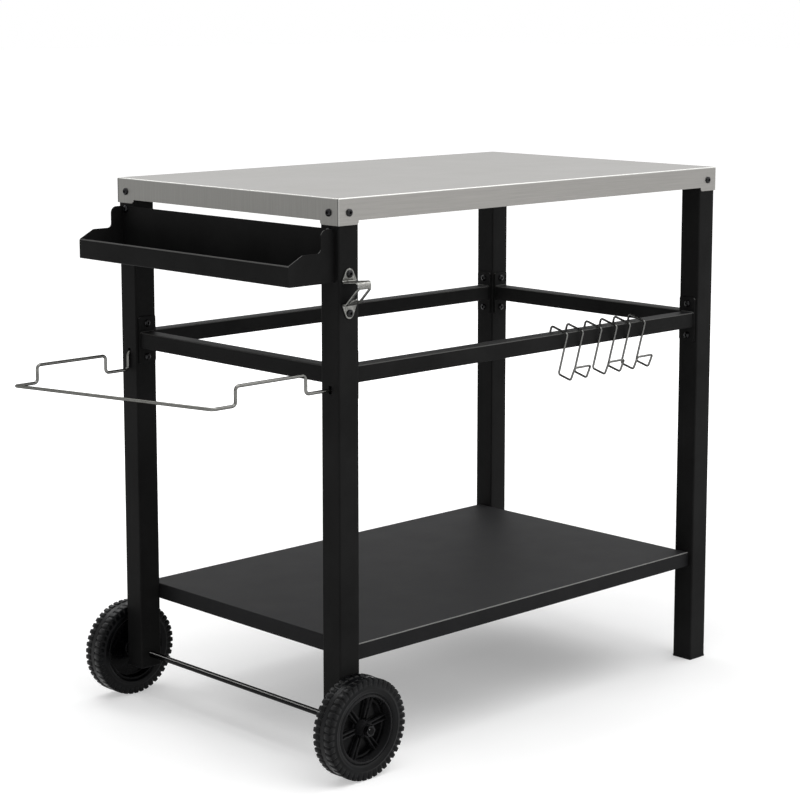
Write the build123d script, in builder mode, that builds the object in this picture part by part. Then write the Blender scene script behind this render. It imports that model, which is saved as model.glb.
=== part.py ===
from build123d import *
from math import cos, radians, sin
import os

# Grill cart: millimetres, +Z up, X along the table, -Y towards the user.
# The origin is on the floor, under the middle of the whole cart's box.

# Frame
frame_length = 842.0
frame_depth = 508.0
table_height = 838.0
leg_side = 38.0
leg_wall = 1.5
leg_corner = 2.5

# Plugs in the ends of the legs
plug_base = 3.0
plug_proud = 0.5
plug_height = 10.0
plug_clearance = 0.1
plug_chamfer = 0.8

# Tabletop and its stiffening channels
top_sheet = 1.5
top_bend = 2.0
top_flange = 33.0
ear_drop = 38.8
ear_width = 37.0
ear_round = 4.0
top_screw_drop = 21.0
stiffener_spacing = 330.0
stiffener_width = 50.0
stiffener_lip = 14.0
stiffener_height = 18.0
stiffener_sheet = 1.2
stiffener_end_gap = 1.0

# Rails
rail_side = 25.0
rail_wall = 1.5
rail_corner = 2.0
rail_drop = 241.0
plate_thickness = 3.0
plate_width = 30.0
plate_height = 74.0
plate_corner = 4.0
plate_screw_pitch = 53.0

# Shelf
shelf_top = 187.5
shelf_sheet = 1.5
shelf_bend = 2.0
shelf_flange = 24.0
shelf_inset = 9.0
shelf_screw_drop = 14.0

# Spice rack
rack_sheet = 1.5
rack_inset = 10.0
rack_depth = 84.0
rack_gap = 4.7
rack_height = 75.5
rack_lip = 29.5
rack_arm = 43.0
rack_arm_end = 58.0
rack_horn = 24.0
rack_bend = 2.0
rack_lip_round = 4.0
rack_valley_round = 7.0
rack_horn_round = 10.0
rack_arm_round = 6.0
rack_screw_drop = 4.5

# Screws and the weld nuts behind them
screw_radius = 3.0
screw_hole_clearance = 0.2
screw_length = 11.0
head_radius = 5.5
head_height = 3.2
head_taper = 25.0
nut_flats_radius = 5.0
nut_height = 4.0

# Bottle opener
opener_drop = 135.0
opener_sheet = 2.0
opener_screw_pitch = 56.0
ear_radius = 8.0
opener_width = 27.0
hood_reach = 34.0
hood_rise = 15.0
hood_fall = 12.0
hood_bar = 8.0
hood_round = 5.0
hood_under_round = 4.5
hood_corner = 5.0
foot_reach = 12.0
foot_round = 3.0
window_width = 19.0
tongue_rise = 8.0

# Wheels and axle
wheel_radius = 75.0
wheel_width = 36.0
wheel_gap = 1.8
axle_radius = 4.75
axle_fit = 0.05
axle_hole_clearance = 0.1
leg_below_axle = 21.0
washer_radius = 9.5
washer_thickness = 1.5
wheel_end_gap = 0.3
axle_nut_flats_radius = 7.5
axle_nut_height = 4.5
axle_tip = 1.0
lug_count = 44
lug_height = 3.4
lug_width = 6.6
tread_band = 9.0
tread_band_depth = 1.2
shoulder = 2.5
rim_radius = 52.0
rim_wall = 5.0
rim_inset = 3.0
rim_lip = 1.6
rim_lip_wall = 2.4
web_offset = 12.0
web_thickness = 4.0
boss_radius = 11.5
spoke_count = 6
spoke_angle = 8.0
spoke_width = 8.0
spoke_height = 8.0
spoke_groove = 4.0
spoke_groove_depth = 6.0
spoke_groove_end = 2.0

# Bag holder
wire_radius = 2.5
wire_bend = 6.0
wire_seat = 0.3
slot_width = 6.0
slot_height = 12.0
bag_pin_drop = 32.0
bag_tail = 28.0
bag_step = 27.0
bag_step_near = 46.0
bag_step_far = 173.0
bag_reach = 216.0
bag_pin_depth = 12.0
bag_inner_tail = 20.0

# Towel holder
towel_half_width = 150.0
towel_reach = 48.0
towel_pin_rise = 5.0
towel_tail = 14.0
towel_pin_depth = 9.0
towel_slot_height = 10.0

# Hooks
hook_wire_radius = 1.75
hook_bend = 4.0
hook_gap = 0.3
hook_tilt = 15.0
hook_prong_spacing = 37.0
hook_back_drop = 12.0
hook_drop = 68.0
hook_forward = 26.0
hook_lean = 3.0
hook_tip = 22.0
hook_places = {"left": 497.0, "middle": 578.0, "right": 648.0}

# Places that the pieces share
frame_middle = (bag_reach - towel_reach) / 2
left_face = frame_middle - frame_length / 2
right_face = frame_middle + frame_length / 2
front_face = -frame_depth / 2
left_x = left_face + leg_side / 2
right_x = right_face - leg_side / 2
front_y = front_face + leg_side / 2
rear_y = -front_y
leg_top = table_height - top_sheet
leg_bore = leg_side - 2 * leg_wall
raised_bottom = wheel_radius - leg_below_axle + plug_base
standing_bottom = plug_base
rail_top = table_height - rail_drop
rail_height = rail_top - rail_side / 2
rail_bore = rail_side - 2 * rail_wall
top_screw_height = table_height - top_screw_drop
shelf_screw_height = shelf_top - shelf_screw_drop
rack_top = table_height - ear_drop - rack_gap
rack_bottom = rack_top - rack_height
rack_screw_height = rack_top - rack_screw_drop
screw_hole = screw_radius + screw_hole_clearance
plate_screw_heights = (rail_height - plate_screw_pitch / 2, rail_height + plate_screw_pitch / 2)
opener_height = table_height - opener_drop
opener_screw_heights = (opener_height - opener_screw_pitch / 2, opener_height + opener_screw_pitch / 2)
bag_pin_height = rail_top - bag_pin_drop
wall_cut = 4 * leg_wall
along_x = (0, 90, 0)
along_y = (90, 0, 0)

# Each leg: its place, the way its outer faces look, and the height of its lower end
legs = {
    "front_left": (left_x, front_y, -1, -1, raised_bottom),
    "rear_left": (left_x, rear_y, -1, 1, raised_bottom),
    "front_right": (right_x, front_y, 1, -1, standing_bottom),
    "rear_right": (right_x, rear_y, 1, 1, standing_bottom),
}

os.makedirs("parts", exist_ok=True)

# Legs: square tube, bored for every screw that enters it, for the axle and for the bag holder
for leg_name, (x, y, out_x, out_y, bottom) in legs.items():
    outer_x = x + out_x * leg_side / 2
    outer_y = y + out_y * leg_side / 2
    inner_x = x - out_x * leg_side / 2
    inner_y = y - out_y * leg_side / 2
    x_face_holes = [(outer_x, y, top_screw_height), (inner_x, y, shelf_screw_height)]
    x_face_holes += [(inner_x, y, height) for height in plate_screw_heights]
    y_face_holes = [(x, outer_y, top_screw_height)]
    y_face_holes += [(x, inner_y, height) for height in plate_screw_heights]
    if out_x < 0:
        x_face_holes.append((outer_x, y, rack_screw_height))
    if leg_name == "front_left":
        y_face_holes += [(x, outer_y, height) for height in opener_screw_heights]
    with BuildPart() as leg:
        with BuildSketch(Plane.XY.offset(bottom)):
            with Locations((x, y)):
                RectangleRounded(leg_side, leg_side, leg_corner)
                RectangleRounded(leg_bore, leg_bore, leg_corner - leg_wall, mode=Mode.SUBTRACT)
        extrude(amount=leg_top - bottom)
        with Locations(*x_face_holes):
            Cylinder(screw_hole, wall_cut, rotation=along_x, mode=Mode.SUBTRACT)
        with Locations(*y_face_holes):
            Cylinder(screw_hole, wall_cut, rotation=along_y, mode=Mode.SUBTRACT)
        if out_x < 0:
            with Locations((x, y, wheel_radius)):
                Cylinder(
                    axle_radius + axle_hole_clearance, 2 * leg_side, rotation=along_y, mode=Mode.SUBTRACT
                )
            with Locations((outer_x, y, bag_pin_height)):
                Box(wall_cut, slot_width, slot_height, mode=Mode.SUBTRACT)
    leg.part.label = f"leg_{leg_name}"
    export_step(leg.part, f"parts/leg_{leg_name}.step")

# Leg plugs and foot caps: a square base under the tube's end and a spigot inside it
for leg_name, (x, y, out_x, out_y, bottom) in legs.items():
    plug_name = f"leg_plug_{leg_name}" if out_x < 0 else f"foot_cap_{leg_name}"
    with BuildPart() as plug:
        with BuildSketch(Plane.XY.offset(bottom - plug_base)):
            with Locations((x, y)):
                RectangleRounded(leg_side + 2 * plug_proud, leg_side + 2 * plug_proud, leg_corner)
        extrude(amount=plug_base)
        chamfer(plug.edges().group_by(Axis.Z)[0], plug_chamfer)
        with BuildSketch(Plane.XY.offset(bottom)):
            with Locations((x, y)):
                spigot = leg_bore - 2 * plug_clearance
                RectangleRounded(spigot, spigot, leg_corner - leg_wall)
        extrude(amount=plug_height)
    plug.part.label = plug_name
    export_step(plug.part, f"parts/{plug_name}.step")

# Tabletop: one sheet folded down on four sides, with an ear over each leg
with BuildPart() as tabletop:
    with BuildSketch(Plane.XY.offset(table_height)):
        with Locations((frame_middle, 0)):
            Rectangle(frame_length + 2 * top_sheet, frame_depth + 2 * top_sheet)
    extrude(amount=-ear_drop)
    fillet(tabletop.edges().group_by(Axis.Z)[-1], top_bend)
    with BuildSketch(Plane.XY.offset(leg_top)):
        with Locations((frame_middle, 0)):
            Rectangle(frame_length, frame_depth)
    extrude(amount=-ear_drop, mode=Mode.SUBTRACT)
    with Locations((frame_middle, 0, table_height - ear_drop)):
        relief = 2 * (ear_drop - top_flange)
        Box(frame_length - 2 * ear_width, 2 * frame_depth, relief, mode=Mode.SUBTRACT)
        Box(2 * frame_length, frame_depth - 2 * ear_width, relief, mode=Mode.SUBTRACT)
    ear_ends = tabletop.edges().group_by(Axis.Z)[0].filter_by(lambda edge: edge.length < 2 * top_sheet)
    fillet(ear_ends, min(ear_round, ear_drop - top_flange))
    for x, y, out_x, out_y, bottom in legs.values():
        with Locations((x + out_x * leg_side / 2, y, top_screw_height)):
            Cylinder(screw_hole, wall_cut, rotation=along_x, mode=Mode.SUBTRACT)
        with Locations((x, y + out_y * leg_side / 2, top_screw_height)):
            Cylinder(screw_hole, wall_cut, rotation=along_y, mode=Mode.SUBTRACT)
tabletop.part.label = "tabletop"
export_step(tabletop.part, "parts/tabletop.step")

# Stiffeners: two hat channels across the underside of the top
with BuildPart() as stiffeners:
    for side in (-1, 1):
        middle = (frame_middle + side * stiffener_spacing / 2, 0, leg_top)
        with BuildSketch(Plane(origin=middle, x_dir=(1, 0, 0), z_dir=(0, -1, 0))):
            with Locations((0, -stiffener_height / 2)):
                Rectangle(stiffener_width, stiffener_height)
            with Locations((0, stiffener_sheet / 2 - stiffener_height / 2)):
                inside = stiffener_width - 2 * stiffener_sheet
                Rectangle(inside, stiffener_height - stiffener_sheet, mode=Mode.SUBTRACT)
            with Locations((0, -stiffener_sheet / 2)):
                Rectangle(stiffener_width + 2 * stiffener_lip, stiffener_sheet)
                Rectangle(inside, stiffener_sheet, mode=Mode.SUBTRACT)
        extrude(amount=frame_depth / 2 - stiffener_end_gap, both=True)
stiffeners.part.label = "tabletop_stiffeners"
export_step(stiffeners.part, "parts/tabletop_stiffeners.step")

# Rails: square tube between two legs, with a welded plate on each end
long_span = frame_length - 2 * leg_side
short_span = frame_depth - 2 * leg_side
facing_x = {"x_dir": (0, 1, 0), "z_dir": (1, 0, 0)}
facing_y = {"x_dir": (1, 0, 0), "z_dir": (0, -1, 0)}
towel_face = right_x + rail_side / 2
towel_pin_height = rail_height + towel_pin_rise
rails = {
    "front_rail": (Plane(origin=(frame_middle, front_y, rail_height), **facing_x), long_span),
    "rear_rail": (Plane(origin=(frame_middle, rear_y, rail_height), **facing_x), long_span),
    "left_end_rail": (Plane(origin=(left_x, 0, rail_height), **facing_y), short_span),
    "right_end_rail": (Plane(origin=(right_x, 0, rail_height), **facing_y), short_span),
}
for rail_name, (plane, span) in rails.items():
    tube_half = span / 2 - plate_thickness
    with BuildPart() as rail:
        with BuildSketch(plane):
            RectangleRounded(rail_side, rail_side, rail_corner)
            RectangleRounded(rail_bore, rail_bore, rail_corner - rail_wall, mode=Mode.SUBTRACT)
        extrude(amount=tube_half, both=True)
        for end in (-1, 1):
            with BuildSketch(plane.offset(end * tube_half)):
                RectangleRounded(plate_width, plate_height, plate_corner)
                with Locations((0, -plate_screw_pitch / 2), (0, plate_screw_pitch / 2)):
                    Circle(screw_hole, mode=Mode.SUBTRACT)
            extrude(amount=end * plate_thickness)
        if rail_name == "right_end_rail":
            with Locations(*[(towel_face, side * towel_half_width, towel_pin_height) for side in (-1, 1)]):
                Box(4 * rail_wall, slot_width, towel_slot_height, mode=Mode.SUBTRACT)
    rail.part.label = rail_name
    export_step(rail.part, f"parts/{rail_name}.step")

# Shelf: a sheet with four flanges, set between the legs and screwed to them under its ends
with BuildPart() as shelf:
    with BuildSketch(Plane.XY.offset(shelf_top)):
        with Locations((frame_middle, 0)):
            Rectangle(long_span, frame_depth - 2 * shelf_inset)
    extrude(amount=-shelf_flange)
    fillet(shelf.edges().group_by(Axis.Z)[-1], shelf_bend)
    with BuildSketch(Plane.XY.offset(shelf_top - shelf_sheet)):
        with Locations((frame_middle, 0)):
            Rectangle(long_span - 2 * shelf_sheet, frame_depth - 2 * shelf_inset - 2 * shelf_sheet)
    extrude(amount=-shelf_flange, mode=Mode.SUBTRACT)
    for x, y, out_x, out_y, bottom in legs.values():
        with Locations((x - out_x * leg_side / 2, y, shelf_screw_height)):
            Cylinder(screw_hole, wall_cut, rotation=along_x, mode=Mode.SUBTRACT)
shelf.part.label = "shelf"
export_step(shelf.part, "parts/shelf.step")

# Spice rack: a folded trough whose ends rise to a horn beside the back panel
rack_length = frame_depth - 2 * rack_inset
with BuildPart() as spice_rack:
    with BuildSketch(Plane(origin=(left_face, 0, rack_bottom), x_dir=(-1, 0, 0), z_dir=(0, 1, 0))):
        with BuildLine():
            FilletPolyline(
                (0, 0), (rack_depth, 0), (rack_depth, rack_lip), (rack_arm_end, rack_arm),
                (rack_horn, rack_arm), (rack_horn, rack_height), (0, rack_height),
                radius=(rack_bend, rack_lip_round, rack_arm_round, rack_valley_round, rack_horn_round),
            )
            Line((0, rack_height), (0, 0))
        make_face()
    extrude(amount=rack_length / 2, both=True)
    with Locations((left_face - rack_depth / 2, 0, rack_bottom + rack_sheet)):
        Box(
            rack_depth - 2 * rack_sheet, rack_length - 2 * rack_sheet, rack_height,
            align=(Align.CENTER, Align.CENTER, Align.MIN), mode=Mode.SUBTRACT,
        )
    with Locations((left_face, front_y, rack_screw_height), (left_face, rear_y, rack_screw_height)):
        Cylinder(screw_hole, wall_cut, rotation=along_x, mode=Mode.SUBTRACT)
spice_rack.part.label = "spice_rack"
export_step(spice_rack.part, "parts/spice_rack.step")

# Bottle opener: a round-cornered hood with an open window and a tongue, between two ears flat on the leg
with BuildPart() as opener:
    side_plane = Plane(origin=(left_x, front_face, opener_height), x_dir=(0, -1, 0), z_dir=(-1, 0, 0))
    with BuildSketch(side_plane):
        with BuildLine():
            FilletPolyline(
                (0, hood_rise), (hood_reach, hood_rise), (hood_reach, hood_bar), (foot_reach, -hood_fall),
                (0, -hood_fall), radius=(hood_round, hood_under_round, foot_round),
            )
            Line((0, -hood_fall), (0, hood_rise))
        make_face()
        offset(amount=-opener_sheet, kind=Kind.INTERSECTION, mode=Mode.SUBTRACT)
        with Locations((opener_sheet / 2, (hood_rise - hood_fall) / 2)):
            Rectangle(opener_sheet, hood_rise + hood_fall - 2 * opener_sheet, mode=Mode.SUBTRACT)
    extrude(amount=opener_width / 2, both=True)
    with BuildSketch(side_plane):
        with Locations(((foot_reach + hood_reach) / 2 + opener_sheet, (hood_bar - hood_fall) / 2)):
            Rectangle(hood_reach - foot_reach, hood_bar + hood_fall)
    extrude(amount=window_width / 2, both=True, mode=Mode.SUBTRACT)
    with BuildSketch(Plane(origin=(left_x, front_face, opener_height))):
        with BuildLine():
            FilletPolyline(
                (-opener_width / 2, 0), (-opener_width / 2, -hood_reach), (opener_width / 2, -hood_reach),
                (opener_width / 2, 0), radius=hood_corner,
            )
            Line((opener_width / 2, 0), (-opener_width / 2, 0))
        make_face()
    extrude(amount=opener_screw_pitch, both=True, mode=Mode.INTERSECT)
    with BuildSketch(side_plane):
        with Locations((foot_reach + opener_sheet / 2, -hood_fall + tongue_rise / 2)):
            Rectangle(opener_sheet, tongue_rise)
    extrude(amount=window_width / 2 - opener_sheet, both=True)
    ear_plane = Plane(origin=(left_x, front_face, opener_height), x_dir=(1, 0, 0), z_dir=(0, -1, 0))
    for side, root in ((1, hood_rise), (-1, hood_fall)):
        with BuildSketch(ear_plane):
            with Locations((0, side * opener_screw_pitch / 2)):
                Circle(ear_radius)
            with Locations((0, side * (root - opener_sheet / 2))):
                Rectangle(opener_width, opener_sheet)
            make_hull()
            with Locations((0, side * opener_screw_pitch / 2)):
                Circle(screw_hole, mode=Mode.SUBTRACT)
        extrude(amount=opener_sheet)
opener.part.label = "bottle_opener"
export_step(opener.part, "parts/bottle_opener.step")

# Screws: each group holds one piece. A screw is the point under its head, the way the head looks
# and the thickness that it holds against the leg.
tabletop_screws = []
rail_screws = []
shelf_screws = []
rack_screws = []
for x, y, out_x, out_y, bottom in legs.values():
    seat = leg_side / 2 + top_sheet
    tabletop_screws.append(((x + out_x * seat, y, top_screw_height), (out_x, 0, 0), top_sheet))
    tabletop_screws.append(((x, y + out_y * seat, top_screw_height), (0, out_y, 0), top_sheet))
    seat = leg_side / 2 + plate_thickness
    for height in plate_screw_heights:
        rail_screws.append(((x - out_x * seat, y, height), (-out_x, 0, 0), plate_thickness))
        rail_screws.append(((x, y - out_y * seat, height), (0, -out_y, 0), plate_thickness))
    seat = leg_side / 2 + shelf_sheet
    shelf_screws.append(((x - out_x * seat, y, shelf_screw_height), (-out_x, 0, 0), shelf_sheet))
    if out_x < 0:
        rack_screws.append(((left_face - rack_sheet, y, rack_screw_height), (-1, 0, 0), rack_sheet))
opener_screws = []
for height in opener_screw_heights:
    opener_screws.append(((left_x, front_face - opener_sheet, height), (0, -1, 0), opener_sheet))
screw_groups = {
    "tabletop_screws": tabletop_screws,
    "rail_screws": rail_screws,
    "shelf_screws": shelf_screws,
    "rack_screws": rack_screws,
    "opener_screws": opener_screws,
}
for group_name, places in screw_groups.items():
    with BuildPart() as screws:
        for point, look, held in places:
            seat_plane = Plane(origin=point, z_dir=look)
            with BuildSketch(seat_plane):
                Circle(head_radius)
            extrude(amount=head_height, taper=head_taper)
            with BuildSketch(seat_plane):
                Circle(screw_radius)
            extrude(amount=-screw_length)
    screws.part.label = group_name
    export_step(screws.part, f"parts/{group_name}.step")

# Weld nuts: one inside the leg behind each screw
with BuildPart() as weld_nuts:
    for places in screw_groups.values():
        for point, look, held in places:
            with BuildSketch(Plane(origin=point, z_dir=look).offset(-held - leg_wall)):
                RegularPolygon(nut_flats_radius, 6, major_radius=False)
                Circle(screw_hole, mode=Mode.SUBTRACT)
            extrude(amount=-nut_height)
weld_nuts.part.label = "leg_weld_nuts"
export_step(weld_nuts.part, "parts/leg_weld_nuts.step")

# Axle: a rod through both left legs, with a washer on each side of each wheel and a lock nut at each end
boss_length = wheel_width
outer_washer = wheel_gap + boss_length + wheel_end_gap
axle_half = frame_depth / 2 + outer_washer + washer_thickness + axle_nut_height + axle_tip
axle_plane = Plane(origin=(left_x, 0, wheel_radius), x_dir=(1, 0, 0), z_dir=(0, -1, 0))
with BuildPart() as axle:
    with BuildSketch(axle_plane):
        Circle(axle_radius)
    extrude(amount=axle_half, both=True)
axle.part.label = "axle"
export_step(axle.part, "parts/axle.step")

with BuildPart() as washers:
    for side in (-1, 1):
        for start in (0, outer_washer):
            with BuildSketch(axle_plane.offset(side * (frame_depth / 2 + start))):
                Circle(washer_radius)
                Circle(axle_radius + axle_hole_clearance, mode=Mode.SUBTRACT)
            extrude(amount=side * washer_thickness)
washers.part.label = "axle_washers"
export_step(washers.part, "parts/axle_washers.step")

with BuildPart() as axle_nuts:
    for side in (-1, 1):
        with BuildSketch(axle_plane.offset(side * (frame_depth / 2 + outer_washer + washer_thickness))):
            RegularPolygon(axle_nut_flats_radius, 6, major_radius=False)
            Circle(axle_radius + axle_hole_clearance, mode=Mode.SUBTRACT)
        extrude(amount=side * axle_nut_height)
axle_nuts.part.label = "axle_nuts"
export_step(axle_nuts.part, "parts/axle_nuts.step")

# Wheels: a six-spoke hub that runs on the axle, and a lugged tyre on its rim
carcass_radius = wheel_radius - lug_height
for wheel_name, way in (("front", -1), ("rear", 1)):
    inner_end = (left_x, way * (frame_depth / 2 + wheel_gap), wheel_radius)
    across = Plane(origin=inner_end, x_dir=(1, 0, 0), z_dir=(0, way, 0))
    section = Plane(origin=inner_end, x_dir=(1, 0, 0), z_dir=(0, 0, way))
    spin = Axis(inner_end, (0, way, 0))

    with BuildPart() as hub:
        with BuildSketch(section):
            with Locations(((rim_radius + boss_radius) / 2, web_offset)):
                Rectangle(rim_radius - boss_radius, web_thickness, align=(Align.CENTER, Align.MIN))
            with Locations((rim_radius - rim_wall / 2, wheel_width / 2)):
                Rectangle(rim_wall, wheel_width - 2 * rim_inset)
            with Locations((rim_radius - rim_wall + rim_lip_wall / 2, wheel_width - rim_inset)):
                Rectangle(rim_lip_wall, rim_lip, align=(Align.CENTER, Align.MIN))
            with Locations((boss_radius / 2, boss_length / 2)):
                Rectangle(boss_radius, boss_length)
        revolve(axis=spin)
        with BuildSketch(across.offset(web_offset + web_thickness)):
            with PolarLocations((rim_radius - rim_wall) / 2, spoke_count, start_angle=spoke_angle):
                Rectangle(rim_radius - rim_wall, spoke_width)
        extrude(amount=spoke_height)
        groove_length = rim_radius - rim_wall - boss_radius - 2 * spoke_groove_end
        groove_middle = (rim_radius - rim_wall + boss_radius) / 2
        with BuildSketch(across.offset(web_offset + web_thickness + spoke_height)):
            with PolarLocations(groove_middle, spoke_count, start_angle=spoke_angle):
                Rectangle(groove_length, spoke_groove)
        extrude(amount=-spoke_groove_depth, mode=Mode.SUBTRACT)
        with BuildSketch(across):
            Circle(axle_radius + axle_fit)
        extrude(amount=boss_length, mode=Mode.SUBTRACT)
    hub.part.label = f"{wheel_name}_hub"
    export_step(hub.part, f"parts/{wheel_name}_hub.step")

    with BuildPart() as tyre:
        with BuildSketch(across):
            Circle(carcass_radius)
        extrude(amount=wheel_width)
        for row, start in ((0, 0), (1, wheel_width / 2)):
            with BuildSketch(across.offset(start)):
                with PolarLocations(carcass_radius, lug_count, start_angle=row * 180 / lug_count):
                    Rectangle(2 * lug_height, lug_width)
            extrude(amount=wheel_width / 2)
        with BuildSketch(section):
            with BuildLine():
                Polyline(
                    (rim_radius, rim_inset), (carcass_radius - shoulder, 0), (wheel_radius, shoulder),
                    (wheel_radius, wheel_width - shoulder), (carcass_radius - shoulder, wheel_width),
                    (rim_radius, wheel_width - rim_inset), close=True,
                )
            make_face()
        revolve(axis=spin, mode=Mode.INTERSECT)
        with BuildSketch(section):
            with Locations((wheel_radius - tread_band_depth - lug_height, wheel_width / 2)):
                Rectangle(lug_height, tread_band, align=(Align.MIN, Align.CENTER))
        revolve(axis=spin)
    tyre.part.label = f"{wheel_name}_tyre"
    export_step(tyre.part, f"parts/{wheel_name}_tyre.step")

# Bag holder: one wire. Its rear end stands on a tail down the leg's face,
# and its front end goes straight into the leg and turns up inside.
wire_out = wire_radius + wire_seat
bag_low = bag_pin_height - bag_tail
with BuildPart() as bag_holder:
    with BuildLine() as bag_path:
        FilletPolyline(
            (left_face + bag_pin_depth, rear_y, bag_pin_height),
            (left_face - wire_out, rear_y, bag_pin_height),
            (left_face - wire_out, rear_y, bag_low),
            (left_face - bag_step_near, rear_y, bag_low),
            (left_face - bag_step_near, rear_y, bag_low + bag_step),
            (left_face - bag_step_far, rear_y, bag_low + bag_step),
            (left_face - bag_step_far, rear_y, bag_low),
            (left_face - bag_reach + wire_radius, rear_y, bag_low),
            (left_face - bag_reach + wire_radius, front_y, bag_pin_height),
            (left_face - bag_step_far, front_y, bag_pin_height),
            (left_face - bag_step_far, front_y, bag_pin_height + bag_step),
            (left_face - bag_step_near, front_y, bag_pin_height + bag_step),
            (left_face - bag_step_near, front_y, bag_pin_height),
            (left_face + bag_pin_depth, front_y, bag_pin_height),
            (left_face + bag_pin_depth, front_y, bag_pin_height + bag_inner_tail),
            radius=wire_bend,
        )
    with BuildSketch(Plane(origin=bag_path.wire() @ 0, z_dir=bag_path.wire() % 0)):
        Circle(wire_radius)
    sweep(path=bag_path.wire())
bag_holder.part.label = "bag_holder"
export_step(bag_holder.part, "parts/bag_holder.step")

# Towel holder: one wire, hung by two short tails on the outer face of the right end rail
towel_low = towel_pin_height - towel_tail
towel_bar = right_face + towel_reach - wire_radius
with BuildPart() as towel_holder:
    with BuildLine() as towel_path:
        FilletPolyline(
            (towel_face - towel_pin_depth, -towel_half_width, towel_pin_height),
            (towel_face + wire_out, -towel_half_width, towel_pin_height),
            (towel_face + wire_out, -towel_half_width, towel_low),
            (towel_bar, -towel_half_width, towel_low),
            (towel_bar, towel_half_width, towel_low),
            (towel_face + wire_out, towel_half_width, towel_low),
            (towel_face + wire_out, towel_half_width, towel_pin_height),
            (towel_face - towel_pin_depth, towel_half_width, towel_pin_height),
            radius=wire_bend,
        )
    with BuildSketch(Plane(origin=towel_path.wire() @ 0, z_dir=towel_path.wire() % 0)):
        Circle(wire_radius)
    sweep(path=towel_path.wire())
towel_holder.part.label = "towel_holder"
export_step(towel_holder.part, "parts/towel_holder.step")

# Hooks: each is one wire with two prongs. It leans on the rail's upper and lower front edges,
# so its top bar slopes and its back end drops behind the rail.
rail_front = front_y - rail_side / 2
rail_rear = front_y + rail_side / 2
rail_bottom = rail_top - rail_side
lean_cos = cos(radians(hook_tilt))
lean_sin = sin(radians(hook_tilt))
hook_out = hook_wire_radius + hook_gap
corner_back = rail_front * lean_cos + rail_bottom * lean_sin - hook_out
corner_up = rail_top * lean_cos - rail_front * lean_sin + hook_out
hook_top = rail_rear * lean_cos + rail_top * lean_sin + hook_out - corner_back
hook_y = corner_back * lean_cos - corner_up * lean_sin
hook_z = corner_back * lean_sin + corner_up * lean_cos
for hook_name, place in hook_places.items():
    hook_plane = Plane(
        origin=(left_face + place, hook_y, hook_z), x_dir=(1, 0, 0), z_dir=(0, -lean_sin, lean_cos)
    )
    prong = [
        (hook_top, -hook_back_drop), (hook_top, 0), (0, 0), (0, -hook_drop),
        (-hook_forward, -hook_drop), (-hook_forward - hook_lean, hook_tip - hook_drop),
    ]
    half = hook_prong_spacing / 2
    hook_points = [(-half, back, up) for back, up in prong]
    hook_points += [(half, back, up) for back, up in reversed(prong)]
    hook_points = [hook_plane.from_local_coords(point) for point in hook_points]
    with BuildPart() as hook:
        with BuildLine() as hook_path:
            FilletPolyline(*hook_points, radius=hook_bend)
        with BuildSketch(Plane(origin=hook_path.wire() @ 0, z_dir=hook_path.wire() % 0)):
            Circle(hook_wire_radius)
        sweep(path=hook_path.wire())
    hook.part.label = f"{hook_name}_hook"
    export_step(hook.part, f"parts/{hook_name}_hook.step")
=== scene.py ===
import bmesh
import bpy
import numpy as np
from mathutils import Matrix, Vector


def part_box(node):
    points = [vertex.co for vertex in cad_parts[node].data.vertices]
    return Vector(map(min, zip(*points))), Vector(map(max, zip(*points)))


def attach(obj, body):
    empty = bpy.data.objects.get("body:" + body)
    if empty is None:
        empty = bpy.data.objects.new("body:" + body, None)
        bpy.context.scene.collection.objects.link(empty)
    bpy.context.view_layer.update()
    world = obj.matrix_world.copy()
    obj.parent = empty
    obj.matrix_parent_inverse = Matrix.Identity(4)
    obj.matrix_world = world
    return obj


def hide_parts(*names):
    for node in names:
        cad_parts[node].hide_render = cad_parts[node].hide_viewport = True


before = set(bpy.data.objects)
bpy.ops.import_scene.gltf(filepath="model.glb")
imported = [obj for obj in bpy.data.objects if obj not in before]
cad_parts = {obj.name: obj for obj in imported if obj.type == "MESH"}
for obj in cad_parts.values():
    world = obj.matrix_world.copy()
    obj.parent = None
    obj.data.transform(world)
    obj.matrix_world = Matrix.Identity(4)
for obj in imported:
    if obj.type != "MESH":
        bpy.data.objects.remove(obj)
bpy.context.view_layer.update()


# Legs: four square steel tubes with rounded corners, sawn to length and bored.
# They are sprayed with dry black polyester powder and baked, and bolts hold every
# other piece of the frame to them.
def linear(code):
    """An sRGB hex colour as linear RGBA: each channel goes through the sRGB curve."""
    srgb = np.array([int(code[i:i + 2], 16) for i in (1, 3, 5)]) / 255
    rgb = np.where(srgb <= 0.04045, srgb / 12.92, ((srgb + 0.055) / 1.055) ** 2.4)
    return (*rgb.tolist(), 1.0)


def add(tree, kind, settings=None, links=None):
    """Adds one node, sets its attributes or input values, and links its inputs to outputs."""
    node = tree.nodes.new(kind)
    for name, value in (settings or {}).items():
        if hasattr(node, str(name)):
            setattr(node, name, value)
        else:
            node.inputs[name].default_value = value
    for name, output in (links or {}).items():
        tree.links.new(output, node.inputs[name])
    return node


def start_finish(name):
    """A new node material with its shader and the coordinates that its patterns read."""
    material = bpy.data.materials.new(name)
    material.use_nodes = True
    tree = material.node_tree
    place = add(tree, "ShaderNodeTexCoord")
    return material, tree, tree.nodes["Principled BSDF"], place.outputs["Object"]


def dress(material, *names):
    """Puts one finish on nodes that keep their own mesh."""
    for name in names:
        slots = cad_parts[name].data.materials
        slots.clear()
        slots.append(material)


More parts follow.
